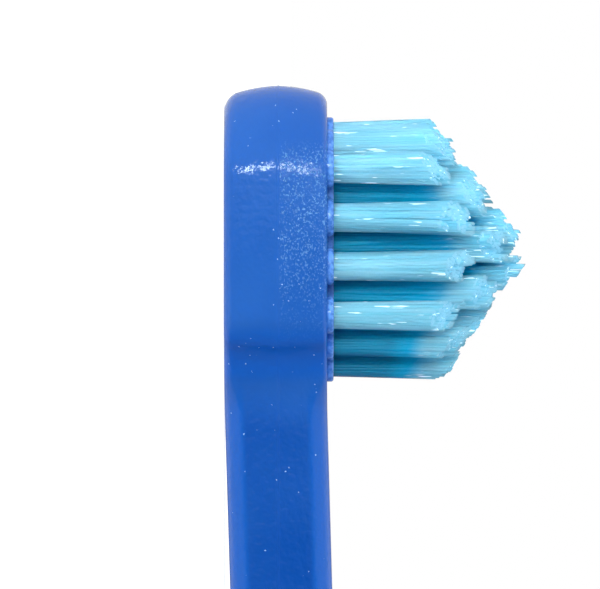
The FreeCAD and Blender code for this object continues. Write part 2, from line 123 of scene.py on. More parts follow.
def side_outline():
    """The left side of the brush from the front: arcs and straights, each smooth into the next, tip to tail."""
    side_centre = np.array([SIDE_CREST_X, HEAD_HALF - SIDE_RADIUS])
    start_lean = math.asin((SIDE_START_X - SIDE_CREST_X) / SIDE_RADIUS)
    end_lean = math.asin((SIDE_CREST_X - SIDE_END_X) / (SIDE_RADIUS - SHOULDER_RADIUS))

    # the corner lies within the side's circle, and the tip's circle holds the corner and ends at the tip
    to_corner = np.array([math.sin(start_lean), math.cos(start_lean)])
    corner_centre = side_centre + (SIDE_RADIUS - CORNER_RADIUS) * to_corner
    back_from_tip, corner_y = TIP_X - corner_centre[0], corner_centre[1]
    tip_radius = (back_from_tip**2 + corner_y**2 - CORNER_RADIUS**2) / (2 * (back_from_tip - CORNER_RADIUS))
    tip_centre = np.array([TIP_X - tip_radius, 0])
    corner_from = math.degrees(math.atan2(corner_y, corner_centre[0] - tip_centre[0]))

    # the shoulder lies within the side's circle, and the hollow touches the shoulder and the neck
    to_shoulder = np.array([-math.sin(end_lean), math.cos(end_lean)])
    shoulder_centre = side_centre + (SIDE_RADIUS - SHOULDER_RADIUS) * to_shoulder
    climb = NECK_HALF + HOLLOW_RADIUS - shoulder_centre[1]
    run = math.sqrt((SHOULDER_RADIUS + HOLLOW_RADIUS) ** 2 - climb**2)
    shoulder_to = math.degrees(math.atan2(climb, -run))
    hollow_centre = (shoulder_centre[0] - run, NECK_HALF + HOLLOW_RADIUS)

    start_deg, end_deg = 90 - math.degrees(start_lean), 90 + math.degrees(end_lean)
    flare_turn = ramp_turn(FLARE_X - CREST_X, GRIP_HALF - NECK_HALF, 2 * BEND_RADIUS)
    grip_turn = ramp_turn(CREST_X - TAIL_X, GRIP_HALF - TAIL_RADIUS, BEND_RADIUS - TAIL_RADIUS)
    tip = arc(tip_centre, tip_radius, 0, corner_from, FINE_STEP)
    corner = arc(corner_centre, CORNER_RADIUS, corner_from, start_deg, FINE_STEP)
    side = arc(side_centre, SIDE_RADIUS, start_deg, end_deg, SIDE_STEP)
    shoulder = arc(shoulder_centre, SHOULDER_RADIUS, end_deg, shoulder_to, SHOULDER_STEP)
    hollow = arc(hollow_centre, HOLLOW_RADIUS, shoulder_to + 180, 270, FINE_STEP, hollow=True)
    flare_centre, crest_centre = (FLARE_X, NECK_HALF + BEND_RADIUS), (CREST_X, GRIP_HALF - BEND_RADIUS)
    flare = arc(flare_centre, BEND_RADIUS, 270, 270 - flare_turn, BEND_STEP, hollow=True)
    crest = arc(crest_centre, BEND_RADIUS, 90 - flare_turn, 90 + grip_turn, BEND_STEP)
    tail = arc((TAIL_X, 0), TAIL_RADIUS, 90 + grip_turn, 180, SIDE_STEP)
    neck = straight(hollow[0][-1], flare[0][0], NECK_STEP)
    widening = straight(flare[0][-1], crest[0][0], RAMP_STEP)
    grip = straight(crest[0][-1], tail[0][0], RAMP_STEP)
    runs = (tip, corner, side, shoulder, hollow, neck, flare, widening, crest, grip, tail)
    places = [run[0][: len(run[0]) - (run is not tail)] for run in runs]
    facing = [run[1][: len(run[1]) - (run is not tail)] for run in runs]
    return np.concatenate(places), np.concatenate(facing)


def s_curve(x, start_x, end_x, start_z, end_z):
    """A height that goes from one level to another: an arc, a straight ramp and the opposite arc."""
    step = abs(end_z - start_z)
    turn = math.radians(ramp_turn(end_x - start_x, step, 2 * SIDE_BEND_RADIUS))
    bend = SIDE_BEND_RADIUS * math.sin(turn)
    along = np.clip(x - start_x, 0, end_x - start_x)
    back = (end_x - start_x) - along
    dip = lambda d: SIDE_BEND_RADIUS - np.sqrt(SIDE_BEND_RADIUS**2 - np.minimum(d, bend) ** 2)
    rise = dip(along) + np.maximum(along - bend, 0) * math.tan(turn)
    rise = np.where(back < bend, step - dip(back), rise)
    return start_z + np.sign(end_z - start_z) * rise


def back_height(x):
    """The back lies flat under the head and the grip, and rises in one low arch between them."""
    rising = s_curve(x, GRIP_FLAT_X, ARCH_X, 0, ARCH_Z)
    falling = s_curve(x, ARCH_X, HEAD_X, ARCH_Z, 0)
    return np.where(x < ARCH_X, rising, falling)


def front_height(x):
    """The front steps up once, from the head to the thicker grip."""
    return s_curve(x, GRIP_FLAT_X, HEAD_X, GRIP_Z, HEAD_Z)


def ease(t):
    """Goes smoothly from 0 to 1: three times the square less twice the cube."""
    t = np.clip(t, 0, 1)
    return t * t * (3 - 2 * t)


def half_section(face_z, radius, sign):
    """One mould half in section, from its face to near the parting line: a quarter round, then the leaning side.

    Each place is (how far out of the parting outline, height). The side leans by the draft, so at a height it
    lies in by the height's distance from the parting line times the draft's tangent. The round's centre lies its
    radius in from both the face and that side.
    """
    reach = sign * (face_z - PARTING_Z)
    out = -(reach - radius * (1 - math.sin(LEAN))) * math.tan(LEAN) - radius * math.cos(LEAN)
    turn = np.linspace(math.pi / 2, LEAN, EDGE_POINTS)[None, :]
    round_out = out[:, None] + radius[:, None] * np.cos(turn)
    round_up = (reach - radius)[:, None] + radius[:, None] * np.sin(turn)
    side_up = round_up[:, -1:] + SIDE_SHARES * (SIDE_STOPS_AT - round_up[:, -1:])
    up = np.concatenate([round_up, side_up], 1)
    out = np.concatenate([round_out, -side_up * math.tan(LEAN)], 1)
    return out, PARTING_Z + sign * up


def body_surface():
    """The moulding as rings: the outline moved out along its own normal by each place of the section.

    The section runs from the back's face over its rounded edge, up the two leaning sides and over the front's
    rounded edge. The parting line's ridge is a bell curve of the height from it. The tip's crown rises with that
    height and falls with its square. Rings that shrink from the rims onto the middle line close both faces.
    """
    left, left_facing = side_outline()
    mirror = np.array([1, -1])
    outline = np.concatenate([left, left[-2:0:-1] * mirror])
    facing = np.concatenate([left_facing, left_facing[-2:0:-1] * mirror])
    x = outline[:, 0]
    to_neck = ease((NECK_EDGE_X - x) / NECK_EDGE_RUN)
    round_tip = ease(facing[:, 0]) * (x > 0)
    back_radius = BACK_EDGE + BACK_TIP_EDGE * round_tip + (NECK_EDGE - BACK_EDGE) * to_neck
    front_radius = FRONT_EDGE + FRONT_TIP_EDGE * round_tip + (NECK_EDGE - FRONT_EDGE) * to_neck
    back_z, front_z = back_height(x), front_height(x)

    back_out, back_up = half_section(back_z, back_radius, -1)
    front_out, front_up = half_section(front_z, front_radius, 1)
    seam = np.tile(np.linspace(-RIDGE_REACH, RIDGE_REACH, RIDGE_POINTS), (len(x), 1))
    ridge = RIDGE_HEIGHT * np.exp(-((seam / RIDGE_WIDTH) ** 2))
    seam_out = -np.abs(seam) * math.tan(LEAN) + ridge
    out = np.concatenate([back_out, seam_out, front_out[:, ::-1]], 1)
    up = np.concatenate([back_up, PARTING_Z + seam, front_up[:, ::-1]], 1)
    beyond = np.clip(np.abs(up - PARTING_Z) - CROWN_FROM, 0, None)
    out += round_tip[:, None] * (CROWN_RISE * beyond - CROWN_FALL * beyond**2)
    wall = np.concatenate([outline[:, None] + out[:, :, None] * facing[:, None], up[:, :, None]], 2)

    middle = np.stack([np.clip(x, TAIL_X, MIDDLE_END_X), np.zeros_like(x)], 1)
    caps = []
    for rim, height, level in ((wall[:, 0], back_height, back_z), (wall[:, -1], front_height, front_z)):
        flat = rim[:, None, :2] + FACE_SHARES[None, :, None] * (middle - rim[:, :2])[:, None]
        lift = height(flat[:, :, 0]) + (1 - FACE_SHARES) * (level - height(rim[:, 0]))[:, None]
        caps.append(np.concatenate([flat, lift[:, :, None]], 2))
    return np.concatenate([caps[0][:, ::-1], wall, caps[1]], 1)


def grid_faces(rows, columns):
    """Four-sided faces of a grid that closes on itself along its rows."""
    index = np.arange(rows * columns).reshape(rows, columns)
    following = np.roll(index, -1, axis=0)
    return np.stack([index[:, :-1], following[:, :-1], following[:, 1:], index[:, 1:]], 2).reshape(-1, 4)


def new_piece(name, points_mm, faces):
    """A mesh object with its place in its vertices, doubles merged and faces turned outwards."""
    mesh = bpy.data.meshes.new(name)
    mesh.from_pydata((np.asarray(points_mm).reshape(-1, 3) * MM).tolist(), [], np.asarray(faces).tolist())
    work = bmesh.new()
    work.from_mesh(mesh)
    bmesh.ops.remove_doubles(work, verts=work.verts, dist=SAME_POINT)
    bmesh.ops.dissolve_degenerate(work, dist=NO_LENGTH, edges=work.edges)
    bmesh.ops.recalc_face_normals(work, faces=work.faces)
    work.to_mesh(mesh)
    work.free()
    piece = bpy.data.objects.new(name, mesh)
    bpy.context.scene.collection.objects.link(piece)
    return piece


def lathe(centre, profile, sides):
    """A closed round solid: a profile of (radius, height) turned about an upright line, as points and faces."""
    turn = np.linspace(0, 2 * np.pi, sides, endpoint=False)[:, None]
    radius, height = np.array(profile).T[:, None, :]
    points = np.stack([centre[0] + radius * np.cos(turn), centre[1] + radius * np.sin(turn),
                       height + 0 * turn], 2)
    return points, grid_faces(sides, len(profile))


def join_shells(shells):
    """Several sets of points and faces as one."""
    points, faces, count = [], [], 0
    for shell_points, shell_faces in shells:
        points.append(shell_points.reshape(-1, 3))
        faces.append(shell_faces + count)
        count += len(points[-1])
    return np.concatenate(points), np.concatenate(faces)


def carve(piece, tool, operation):
    """Joins a tool's solid to a piece, or cuts it away, and keeps only the result."""
    modifier = piece.modifiers.new("carve", "BOOLEAN")
    modifier.operation = operation
    modifier.solver = "EXACT"
    modifier.use_self = False
    modifier.object = tool
    result = bpy.data.meshes.new_from_object(piece.evaluated_get(bpy.context.evaluated_depsgraph_get()))
    piece.modifiers.clear()
    piece.data = result
    result.name = piece.name
    bpy.data.objects.remove(tool)


rings = body_surface()
body = new_piece("brush_moulding", rings, grid_faces(*rings.shape[:2]))

# the tuft field: (places from the middle line, tufts, pitch, shift towards the tip) of each column
FIELD_X = TIP_X - 8.8
COLUMN_SPACING = 1.9
COLUMNS = {
    "centre": (0, 6, 2.44, 0.0),
    "inner_left": (1, 5, 2.57, 0.26),
    "inner_right": (-1, 5, 2.57, 0.26),
    "outer_left": (2, 4, 2.6, 0.38),
    "outer_right": (-2, 4, 2.6, 0.38),
}
HOLE_RADIUS, HOLE_FLOOR_Z = 0.8, HEAD_Z - 3.4
COLLAR_RADIUS, COLLAR_HEIGHT, COLLAR_ROUND = 1.0, 0.35, 0.14
COLLAR_FOOT_Z, COLLAR_TOP_Z = HEAD_Z - 0.3, HEAD_Z + COLLAR_HEIGHT
COLLAR_SIDES, HOLE_SIDES, HANG_HOLE_SIDES = 40, 32, 48
tuft_places = {
    f"{column}_{number + 1}": (FIELD_X + shift + ((count - 1) / 2 - number) * pitch, places * COLUMN_SPACING)
    for column, (places, count, pitch, shift) in COLUMNS.items()
    for number in range(count)
}

# each hole has a raised collar with a rounded rim, and the collars stand on the face of the head
quarter_turn = np.linspace(0, math.pi / 2, 6)
collar_profile = [(0, COLLAR_FOOT_Z), (COLLAR_RADIUS, COLLAR_FOOT_Z)]
collar_profile += [
    (COLLAR_RADIUS - COLLAR_ROUND * (1 - math.cos(a)), COLLAR_TOP_Z - COLLAR_ROUND * (1 - math.sin(a)))
    for a in quarter_turn
]
collar_profile += [(0, COLLAR_TOP_Z)]
collar_shells = [lathe(at, collar_profile, COLLAR_SIDES) for at in tuft_places.values()]
carve(body, new_piece("collars", *join_shells(collar_shells)), "UNION")

# the blind holes, and the hanging hole with its softened rims: each cut runs on past the plastic
CUT_PAST = 1
RIM_ROUND = 0.45
hole_top_z, hang_top_z = HEAD_Z + CUT_PAST, GRIP_Z + CUT_PAST
hole_profile = [(0, HOLE_FLOOR_Z), (HOLE_RADIUS, HOLE_FLOOR_Z), (HOLE_RADIUS, hole_top_z), (0, hole_top_z)]
rim = [
    (HANG_HOLE_RADIUS + RIM_ROUND * (1 - math.sin(a)), RIM_ROUND * (1 - math.cos(a))) for a in quarter_turn
]
hang_profile = [(0, -CUT_PAST), (HANG_HOLE_RADIUS + RIM_ROUND, -CUT_PAST), *rim]
hang_profile += [(radius, GRIP_Z - depth) for radius, depth in rim[::-1]]
hang_profile += [(HANG_HOLE_RADIUS + RIM_ROUND, hang_top_z), (0, hang_top_z)]
cuts = [lathe(at, hole_profile, HOLE_SIDES) for at in tuft_places.values()]
cuts += [lathe((HANG_HOLE_X, 0), hang_profile, HANG_HOLE_SIDES)]
carve(body, new_piece("holes", *join_shells(cuts)), "DIFFERENCE")

# how far each place lies from the back or the front, whichever is nearer, for the painted light on the rims
# below
body_points = np.empty(len(body.data.vertices) * 3)
body.data.vertices.foreach_get("co", body_points)
body_x, _, body_z = body_points.reshape(-1, 3).T / MM
from_face = np.minimum(body_z - back_height(body_x), front_height(body_x) - body_z).astype(np.float32)
body.data.attributes.new("from_face", "FLOAT", "POINT").data.foreach_set("value", from_face)
body.data.shade_smooth()
body.data.set_sharp_from_angle(angle=SHARP_EDGE)


def node_tools(tree):
    """Short ways to add a node to a tree, with its settings, and to join an output to an input."""

    def add(kind, **values):
        node = tree.nodes.new("ShaderNode" + kind)
        for key, value in values.items():
            if key in node.inputs:
                node.inputs[key].default_value = value
            else:
                setattr(node, key, value)
        return node

    def join(source, target):
        tree.links.new(source, target)

    return add, join


def new_material(name):
    """A material, its shader, and the tools for its nodes."""
    material = bpy.data.materials.new(name)
    material.use_nodes = True
    return material, material.node_tree.nodes["Principled BSDF"], *node_tools(material.node_tree)


def painted(add, join, factor, low, high):
    """A colour that goes from one to another with a factor."""
    blend = add("Mix", data_type="RGBA")
    join(factor, blend.inputs[0])
    for socket, colour in zip((6, 7), (low, high)):
        if hasattr(colour, "is_output"):
            join(colour, blend.inputs[socket])
        else:
            blend.inputs[socket].default_value = (*colour, 1)
    return blend.outputs[2]


def ramp(add, join, value, low, high, to_low=0.0, to_high=1.0):
    """A number that goes smoothly from one to another as a value crosses a range."""
    node = add("MapRange", interpolation_type="SMOOTHSTEP")
    join(value, node.inputs["Value"])
    for key, number in zip(("From Min", "From Max", "To Min", "To Max"), (low, high, to_low, to_high)):
        node.inputs[key].default_value = number
    return node.outputs["Result"]


def zone(add, join, axis, between, to_low=0.0, to_high=1.0):
    """A number that goes smoothly from one to another between two places, in millimetres, along an axis."""
    return ramp(add, join, axis, between[0] * MM, between[1] * MM, to_low, to_high)


def combine(add, join, operation, *values):
    """A sum, product or the like of numbers or sockets."""
    node = add("Math", operation=operation)
    for socket, value in zip(node.inputs, values):
        if hasattr(value, "is_output"):
            join(value, socket)
        else:
            socket.default_value = value
    return node.outputs[0]


# the plastic's blue, and a deeper blue for its streaks and for the painted shade on the neck and handle
BLUE, STREAK_AND_SHADE_BLUE = (0.021, 0.120, 0.480), (0.003, 0.069, 0.370)
# painted light on the rims of the neck and handle, and painted shading on the shoulders
RIM_LIGHT_BLUE, SHOULDER_SHADE_BLUE = (0.004, 0.102, 0.490), (0.007, 0.114, 0.560)
# dust, scuffs painted bright as glints, and painted light on the collars
DUST, SCUFF_AND_GLINT, COLLAR_LIGHT_BLUE = (0.44, 0.70, 0.98), (0.26, 0.60, 0.98), (0.15, 0.37, 0.93)
DUST_COVER, SCUFF_GLINT_COVER, SCUFF_ROUGHNESS = 0.7, 0.5, 0.05

# how a noise becomes a finish: the range of the noise that counts, and the levels at its two ends; the neck's
# painted shade has levels alone
FLOW_TONE, NECK_SHADE_LEVELS = (0.3, 0.7, -0.15, 0.15), (0.15, 0.85)
HOLLOW_DUST, GATHERED_DUST = (0.0, 0.08), (0.48, 0.68, 0.0, 0.10)
SPECK_SIZE, SPECK_EDGE = (0.96, 1.05, 0.0, 0.24), (0.35, 0.6)
SCUFF_PATCHES, SCUFF_PITS = (0.34, 0.58), (0.51, 0.68)
MOTTLE, GLOSS = (0.35, 0.65, 0.35, 1.0), (0.3, 0.7, 0.10, 0.14)

# where a finish, a painted light or a painted shade comes in and where it goes out, as places along the brush or
# up it
NECK_SHADE_OUT_X = (51, 54)
RIM_LIGHT_OUT_X, RIM_LIGHT_OUT_DEPTH = (54.6, 52.2), (1.2, 0.8)
SHOULDER_SHADE_IN_X, SHOULDER_SHADE_OUT_X = (53.8, 55.0), (57.3, 56.3)
DUSTY_IN_X, DUSTY_OUT_X = (46.5, 51), (57, 55)
SCUFFED_IN_X, SCUFFED_OUT_X = (55.4, 63.5), (67.2, 65.8)
SCUFFED_IN_Z = (PARTING_Z, PARTING_Z + 0.25)
COLLAR_LIGHT_IN_X, COLLAR_LIGHT_IN_Z = (50, 51), (HEAD_Z - 0.05, HEAD_Z + 0.15)

plastic, shader, add, join = new_material("blue_polypropylene")
shader.inputs["IOR"].default_value = 1.49
shader.inputs["Specular IOR Level"].default_value = 0.23
shader.subsurface_method = "BURLEY"
shader.inputs["Subsurface Weight"].default_value = 0.4
shader.inputs["Subsurface Radius"].default_value = (0.2, 0.5, 1.0)
shader.inputs["Subsurface Scale"].default_value = 0.001
place = add("TexCoord").outputs["Object"]
axes = add("SeparateXYZ")
join(place, axes.inputs[0])
x_axis, z_axis = axes.outputs["X"], axes.outputs["Z"]

# slight streaks of flow in the colour, and painted shade that makes the thin neck and the handle deeper
flow = add("TexNoise", Scale=180.0, Detail=3.0)
join(place, flow.inputs["Vector"])
streaks = ramp(add, join, flow.outputs["Fac"], *FLOW_TONE)
tone = combine(add, join, "ADD", streaks, zone(add, join, x_axis, NECK_SHADE_OUT_X, *NECK_SHADE_LEVELS))
colour = painted(add, join, tone, STREAK_AND_SHADE_BLUE, BLUE)

# painted light: on the neck and handle the back, the front and the rims beside them are painted paler than the
# sides
from_face = add("Attribute", attribute_name="from_face").outputs["Fac"]
rim_light = combine(add, join, "MULTIPLY", ramp(add, join, from_face, *RIM_LIGHT_OUT_DEPTH),
                    zone(add, join, x_axis, RIM_LIGHT_OUT_X))
colour = painted(add, join, rim_light, colour, RIM_LIGHT_BLUE)

# painted shading: the shoulders, where the sides turn in to the neck, are painted a blue of their own
shoulder_shade = combine(add, join, "MULTIPLY", zone(add, join, x_axis, SHOULDER_SHADE_OUT_X),
                      zone(add, join, x_axis, SHOULDER_SHADE_IN_X))
colour = painted(add, join, shoulder_shade, colour, SHOULDER_SHADE_BLUE)

# dust: round specks, each of its own size, that gather in some places
dust_cells = add("TexVoronoi", Scale=4500.0, feature="F1")
join(place, dust_cells.inputs["Vector"])
speck_size = add("SeparateColor")
join(dust_cells.outputs["Color"], speck_size.inputs[0])
gathered = add("TexNoise", Scale=260.0, Detail=2.0)
join(place, gathered.inputs["Vector"])
in_the_hollow = combine(add, join, "MULTIPLY", zone(add, join, x_axis, DUSTY_IN_X, *HOLLOW_DUST),
                        zone(add, join, x_axis, DUSTY_OUT_X))
chance = combine(add, join, "ADD", speck_size.outputs[0], in_the_hollow)
chance = combine(add, join, "ADD", chance, ramp(add, join, gathered.outputs["Fac"], *GATHERED_DUST))
ragged = add("TexNoise", Scale=14000.0, Detail=1.0)
join(place, ragged.inputs["Vector"])
big_enough = combine(add, join, "MULTIPLY", ramp(add, join, chance, *SPECK_SIZE),
                     ramp(add, join, ragged.outputs["Fac"], *SPECK_EDGE))
dust = combine(add, join, "LESS_THAN", dust_cells.outputs["Distance"], big_enough)
colour = painted(add, join, combine(add, join, "MULTIPLY", dust, DUST_COVER), colour, DUST)

# scuffs: the head's front half has been rubbed lengthwise to fine pits, painted bright as glints of light,
# thickening towards the tip
lengthwise = add("Mapping")
lengthwise.inputs["Scale"].default_value = (0.8, 1, 1)
join(place, lengthwise.inputs["Vector"])
pits = add("TexNoise", Scale=9200.0, Detail=2.0, Roughness=0.6)
join(lengthwise.outputs["Vector"], pits.inputs["Vector"])
patches = add("TexNoise", Scale=1100.0, Detail=6.0, Roughness=0.85)
join(lengthwise.outputs["Vector"], patches.inputs["Vector"])
front_half = zone(add, join, z_axis, SCUFFED_IN_Z)
on_head = combine(add, join, "MULTIPLY", zone(add, join, x_axis, SCUFFED_IN_X),
                  zone(add, join, x_axis, SCUFFED_OUT_X))
scuffed = combine(add, join, "MULTIPLY", combine(add, join, "MULTIPLY", front_half, on_head),
                  ramp(add, join, patches.outputs["Fac"], *SCUFF_PATCHES))
pitted = combine(add, join, "MULTIPLY", scuffed, ramp(add, join, pits.outputs["Fac"], *SCUFF_PITS))
colour = painted(add, join, combine(add, join, "MULTIPLY", pitted, SCUFF_GLINT_COVER), colour, SCUFF_AND_GLINT)

# painted light: the collars are painted paler upwards from the face of the head, mottled
mottle = add("TexNoise", Scale=3600.0, Detail=2.0)
join(place, mottle.inputs["Vector"])
collar_light = combine(add, join, "MULTIPLY", zone(add, join, z_axis, COLLAR_LIGHT_IN_Z),
                   zone(add, join, x_axis, COLLAR_LIGHT_IN_X))
collar_light = combine(add, join, "MULTIPLY", collar_light, ramp(add, join, mottle.outputs["Fac"], *MOTTLE))
colour = painted(add, join, collar_light, colour, COLLAR_LIGHT_BLUE)
join(colour, shader.inputs["Base Color"])

# the gloss is a little uneven, and duller where it is scuffed
sheen = add("TexNoise", Scale=1400.0, Detail=2.0)
join(place, sheen.inputs["Vector"])
gloss = ramp(add, join, sheen.outputs["Fac"], *GLOSS)
duller = combine(add, join, "MULTIPLY", scuffed, SCUFF_ROUGHNESS)
join(combine(add, join, "ADD", gloss, duller), shader.inputs["Roughness"])

# skin: the soft waves that the mould's polish leaves, and the pits of the scuffs
waves = add("TexNoise", Scale=2800.0, Detail=1.0, Roughness=0.5)
join(place, waves.inputs["Vector"])
skin = add("Bump", Strength=0.6, Distance=0.00004)
join(waves.outputs["Fac"], skin.inputs["Height"])
dents = add("Bump", Strength=1.0, Distance=0.00002)
dents.invert = True
join(pitted, dents.inputs["Height"])
join(skin.outputs["Normal"], dents.inputs["Normal"])
join(dents.outputs["Normal"], shader.inputs["Normal"])

body.data.materials.clear()
body.data.materials.append(plastic)
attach(body, "root")
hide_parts("brush_body")


# ---------------------------------------------------------------------------------------------------------------
# The anchors
# Cuts of flat brass wire, one in each hole. A punch drives each one in across a folded bundle of filaments, and
# its two ends bite into the wall of the hole.
# ---------------------------------------------------------------------------------------------------------------
BRASS, DULL_BRASS, DRAWN_ROUGHNESS = (0.72, 0.56, 0.26), (0.50, 0.38, 0.18), (0.3, 0.7, 0.28, 0.45)
brass, shader, add, join = new_material("brass_wire")
shader.inputs["Metallic"].default_value = 1.0
place = add("TexCoord").outputs["Object"]
drawn = add("Mapping")
drawn.inputs["Scale"].default_value = (1, 1, 12)
join(place, drawn.inputs["Vector"])
grain = add("TexNoise", Scale=1500.0, Detail=4.0)
join(drawn.outputs["Vector"], grain.inputs["Vector"])
join(painted(add, join, grain.outputs["Fac"], DULL_BRASS, BRASS), shader.inputs["Base Color"])
join(ramp(add, join, grain.outputs["Fac"], *DRAWN_ROUGHNESS), shader.inputs["Roughness"])
drawn_lines = add("Bump", Strength=0.3, Distance=0.00001)
join(grain.outputs["Fac"], drawn_lines.inputs["Height"])
join(drawn_lines.outputs["Normal"], shader.inputs["Normal"])
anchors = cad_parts["tuft_anchors"]
anchors.data.materials.clear()
anchors.data.materials.append(brass)


# ---------------------------------------------------------------------------------------------------------------
# The tufts
# Bundles of clear pale blue nylon filaments, packed tight in their holes. They spread a little on the way up,
# and all are cut together to a blunt cone, so every filament ends in a slanting cut.
# ---------------------------------------------------------------------------------------------------------------
FILAMENT_RADIUS, FILAMENT_PITCH = 0.104, 0.160
FILAMENT_SIDES = 6
RING_SHARES = np.array([0, 0.16, 0.36, 0.58, 0.8, 1.0])
ROOT_Z = HEAD_Z - 1.2
TRIM_POINT, TRIM_BLUNT = 10.9, 0.5
TRIM_TO_TIP, TRIM_TO_NECK, TRIM_ACROSS = 0.78, 0.70, 1.0
SHARP_FILAMENT_EDGE = math.radians(65)
FIRST_SEED = 100

# how they stand in the hole: rows each way, the bundle's edge, its squeeze, the shifts and the gap to the wall
PACKED_ROWS, PACKED_EDGE, SQUEEZE, SHIFT, WALL_GAP = 7, 0.09, 0.98, 0.008, 0.025

# how they stand above it: clumps lean, bow and end together, and a few strays lean out and are left longer
SPREAD = 0.026
CLUMPS, STRAY_SHARE = 11, 0.03
LEAN_SHARE, CLUMP_LEAN, STRAY_LEAN = 0.003, 0.010, 0.035
BOW, CLUMP_BOW, BOW_HEIGHT = 0.02, 0.05, 10
UNEVEN, CLUMP_UNEVEN, STRAY_LONGER = 0.03, 0.16, 0.35
FAN_ALONG, FAN_ACROSS, FIELD_HALF_LENGTH, FIELD_HALF_WIDTH = 0.010, 0.004, 6, 4
FIRST_HEIGHT, HEIGHT_ROUNDS = 8.0, 4

# the depth of the field, for the nylon's painted shade: the neck end lies deeper than the field's other sides
NECK_END, NECK_SHADE, NECK_END_X, NECK_END_RUN, CUT_SHARE = 2.3, 0.8, TIP_X - 12.4, 1.5, 0.8
TOWARDS_NECK = -0.1
FIELD_CORNERS = ("centre_6", "inner_right_5", "outer_right_4", "outer_right_1", "inner_right_1", "centre_1")


def trim_height(x, y):
    """The cut's height: the point's, less the root of the summed squares of its bluntness and its two slopes."""
    along = x - FIELD_X
    slope = np.where(along > 0, TRIM_TO_TIP, TRIM_TO_NECK)
    return HEAD_Z + TRIM_POINT - np.sqrt(TRIM_BLUNT**2 + (slope * along) ** 2 + (TRIM_ACROSS * y) ** 2)


def packed_places(rng):
    """Places for filaments in a round hole: a honeycomb at a random turn, with small random shifts.

    A place that comes too near the wall is drawn in along its radius.
    """
    steps = np.arange(-PACKED_ROWS, PACKED_ROWS + 1)
    row, item = np.meshgrid(steps, steps, indexing="ij")
    spots = np.stack([(item + 0.5 * (row % 2)) * FILAMENT_PITCH, row * FILAMENT_PITCH * math.sqrt(0.75)], 2)
    spots = spots.reshape(-1, 2) + rng.uniform(-0.5, 0.5, 2) * FILAMENT_PITCH
    turn = rng.uniform(0, math.pi)
    spots = spots @ np.array([[math.cos(turn), math.sin(turn)], [-math.sin(turn), math.cos(turn)]])
    spots = spots[np.hypot(*spots.T) < HOLE_RADIUS - PACKED_EDGE] * SQUEEZE
    spots += rng.normal(0, SHIFT, spots.shape)
    reach = HOLE_RADIUS - FILAMENT_RADIUS - WALL_GAP
    return spots * np.minimum(1, reach / np.hypot(*spots.T))[:, None]


def filament_bundle(at, rng):
    """A tuft as tubes: each follows a gently bowed line whose distance from the tuft's middle grows with height.

    A tube's place at a height is the tuft's middle, plus its place in the hole times one plus the spread, plus
    a lean times the height, plus a bow times a half sine. Its last ring is lifted to the cut above each corner.
    """
    spots = packed_places(rng)
    count = len(spots)
    clumps = rng.uniform(-HOLE_RADIUS, HOLE_RADIUS, (CLUMPS, 2))
    clump = np.argmin(np.linalg.norm(spots[:, None] - clumps[None], axis=2), axis=1)
    lean = rng.normal(0, LEAN_SHARE, (count, 2)) + rng.normal(0, CLUMP_LEAN, (CLUMPS, 2))[clump]
    stray = rng.random(count) < STRAY_SHARE
    lean[stray] += rng.normal(0, STRAY_LEAN, (stray.sum(), 2))
    lean[:, 0] += FAN_ALONG * (at[0] - FIELD_X) / FIELD_HALF_LENGTH
    lean[:, 1] += FAN_ACROSS * at[1] / FIELD_HALF_WIDTH
    bow = rng.normal(0, BOW, (count, 2)) + rng.normal(0, CLUMP_BOW, (CLUMPS, 2))[clump]
    extra = rng.normal(0, UNEVEN, count) + rng.normal(0, CLUMP_UNEVEN, CLUMPS)[clump]
    extra += stray * rng.uniform(0.0, STRAY_LONGER, count)

    def centre_line(up):
        """Places of the filaments' middles at a height above the face of the head, one height for each."""
        free = np.maximum(up - COLLAR_HEIGHT, 0)
        wide = 1 + SPREAD / HOLE_RADIUS * free
        sway = np.sin(np.pi * np.clip(free / BOW_HEIGHT, 0, 1))
        return at + spots * wide[:, None] + lean * free[:, None] + bow * sway[:, None]

    # the cut's height depends on where a filament has got to, so the two are settled in a few rounds
    top = np.full(count, FIRST_HEIGHT)
    for _ in range(HEIGHT_ROUNDS):
        top = trim_height(*centre_line(top).T) - HEAD_Z + extra
    root = ROOT_Z - HEAD_Z
    ups = root + RING_SHARES[:, None] * (top - root)
    middles = np.stack([centre_line(up) for up in ups])
    turn = np.linspace(0, 2 * np.pi, FILAMENT_SIDES, endpoint=False) + rng.uniform(0, 1, (count, 1))
    ring = FILAMENT_RADIUS * np.stack([np.cos(turn), np.sin(turn)], 2)
    flat = middles[:, :, None, :] + ring[None]
    height = HEAD_Z + np.repeat(ups[:, :, None], FILAMENT_SIDES, 2)
    tilt = trim_height(flat[-1, :, :, 0], flat[-1, :, :, 1])
    height[-1] += tilt - tilt.mean(1, keepdims=True)
    points = np.concatenate([flat, height[..., None]], 3).transpose(1, 0, 2, 3)

    each = len(RING_SHARES) * FILAMENT_SIDES
    index = np.arange(count * each).reshape(count, len(RING_SHARES), FILAMENT_SIDES)
    beside = np.roll(index, -1, axis=2)
    walls = np.stack([index[:, :-1], beside[:, :-1], beside[:, 1:], index[:, 1:]], 3).reshape(-1, 4)
    ends = np.concatenate([index[:, 0, ::-1], index[:, -1]])
    tone = np.repeat(rng.random(count), each)
    return points.reshape(-1, 3), walls, ends, tone


